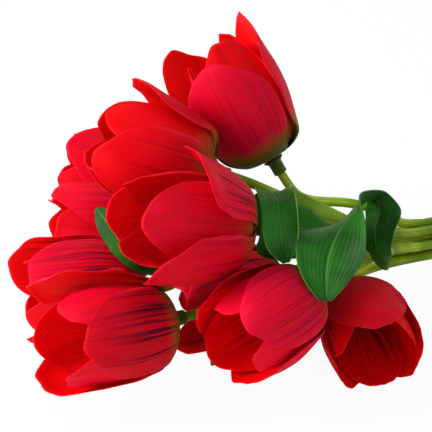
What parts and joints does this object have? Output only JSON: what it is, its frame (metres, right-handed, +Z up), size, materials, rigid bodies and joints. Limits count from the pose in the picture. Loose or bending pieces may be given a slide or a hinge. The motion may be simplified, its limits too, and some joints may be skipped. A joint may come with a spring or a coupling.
{
  "type": "artificial tulip bouquet",
  "caption": "Bunch of artificial tulips lying on its side: wired bending stems in a band, fabric leaves on collars, and fabric flower cups that pull off their stems.",
  "frame": {"origin": "middle of the bounding box's bottom face, on the table that the bunch lies on", "axes": "+X toward the cut ends of the stems, along the bunch; the flowers lie toward -X; +Z up from the table"},
  "size_m": [0.4022, 0.2228, 0.133],
  "materials": {
    "sheath_green": "satin yellow-green plastic sheath",
    "wire_steel": "drawn steel wire",
    "mould_green": "moulded dark green plastic",
    "petal_deep": "crimson fabric, darker toward the base",
    "petal_red": "red satin-like fabric with fine darker streaks",
    "leaf_green": "dark green fabric, lighter yellow-green below",
    "band_clear": "green binding tape"
  },
  "bodies": {
    "bunch": {"stem_a": "sheath_green", "stem_b": "sheath_green", "stem_c": "sheath_green", "stem_d": "sheath_green", "stem_e": "sheath_green", "stem_f": "sheath_green", "stem_g": "sheath_green", "stem_h": "sheath_green", "stem_i": "sheath_green", "stem_j": "sheath_green", "wire_a": "wire_steel", "wire_b": "wire_steel", "wire_c": "wire_steel", "wire_d": "wire_steel", "wire_e": "wire_steel", "wire_f": "wire_steel", "wire_g": "wire_steel", "wire_h": "wire_steel", "wire_i": "wire_steel", "wire_j": "wire_steel", "leaf_front": "leaf_green", "leaf_fold": "leaf_green", "leaf_rib": "leaf_green", "leaf_high": "leaf_green", "leaf_gap": "leaf_green", "leaf_low": "leaf_green", "binding_band": "band_clear"},
    "flower_a": {"receptacle_a": "mould_green", "petals_inner_a": "petal_deep", "petals_outer_a": "petal_red"},
    "flower_b": {"receptacle_b": "mould_green", "petals_inner_b": "petal_deep", "petals_outer_b": "petal_red"},
    "flower_c": {"receptacle_c": "mould_green", "petals_inner_c": "petal_deep", "petals_outer_c": "petal_red"},
    "flower_d": {"receptacle_d": "mould_green", "petals_inner_d": "petal_deep", "petals_outer_d": "petal_red"},
    "flower_e": {"receptacle_e": "mould_green", "petals_inner_e": "petal_deep", "petals_outer_e": "petal_red"},
    "flower_f": {"receptacle_f": "mould_green", "petals_inner_f": "petal_deep", "petals_outer_f": "petal_red"},
    "flower_g": {"receptacle_g": "mould_green", "petals_inner_g": "petal_deep", "petals_outer_g": "petal_red"},
    "flower_h": {"receptacle_h": "mould_green", "petals_inner_h": "petal_deep", "petals_outer_h": "petal_red"},
    "flower_i": {"receptacle_i": "mould_green", "petals_inner_i": "petal_deep", "petals_outer_i": "petal_red"},
    "flower_j": {"receptacle_j": "mould_green", "petals_inner_j": "petal_deep", "petals_outer_j": "petal_red"}
  },
  "joints": [
    {"name": "flower_a_pull", "type": "slide", "parent": "bunch", "child": "flower_a", "axis": [-0.2868, 0.4967, 0.8192], "range_m": [0, 0.006]},
    {"name": "flower_b_pull", "type": "slide", "parent": "bunch", "child": "flower_b", "axis": [-0.8085, 0.4668, 0.3584], "range_m": [0, 0.006]},
    {"name": "flower_c_pull", "type": "slide", "parent": "bunch", "child": "flower_c", "axis": [-0.779, 0.5255, 0.342], "range_m": [0, 0.006]},
    {"name": "flower_d_pull", "type": "slide", "parent": "bunch", "child": "flower_d", "axis": [-0.8721, 0.4637, 0.1564], "range_m": [0, 0.006]},
    {"name": "flower_e_pull", "type": "slide", "parent": "bunch", "child": "flower_e", "axis": [-0.9384, 0.3416, 0.0523], "range_m": [0, 0.006]},
    {"name": "flower_f_pull", "type": "slide", "parent": "bunch", "child": "flower_f", "axis": [-0.9327, 0.2326, 0.2756], "range_m": [0, 0.006]},
    {"name": "flower_g_pull", "type": "slide", "parent": "bunch", "child": "flower_g", "axis": [-0.9924, 0.0173, 0.1219], "range_m": [0, 0.006]},
    {"name": "flower_h_pull", "type": "slide", "parent": "bunch", "child": "flower_h", "axis": [-0.969, -0.2416, -0.0523], "range_m": [0, 0.006]},
    {"name": "flower_i_pull", "type": "slide", "parent": "bunch", "child": "flower_i", "axis": [-0.3907, -0.9204, -0.0175], "range_m": [0, 0.006]},
    {"name": "flower_j_pull", "type": "slide", "parent": "bunch", "child": "flower_j", "axis": [-0.9994, 0, -0.0349], "range_m": [0, 0.005]}
  ]
}
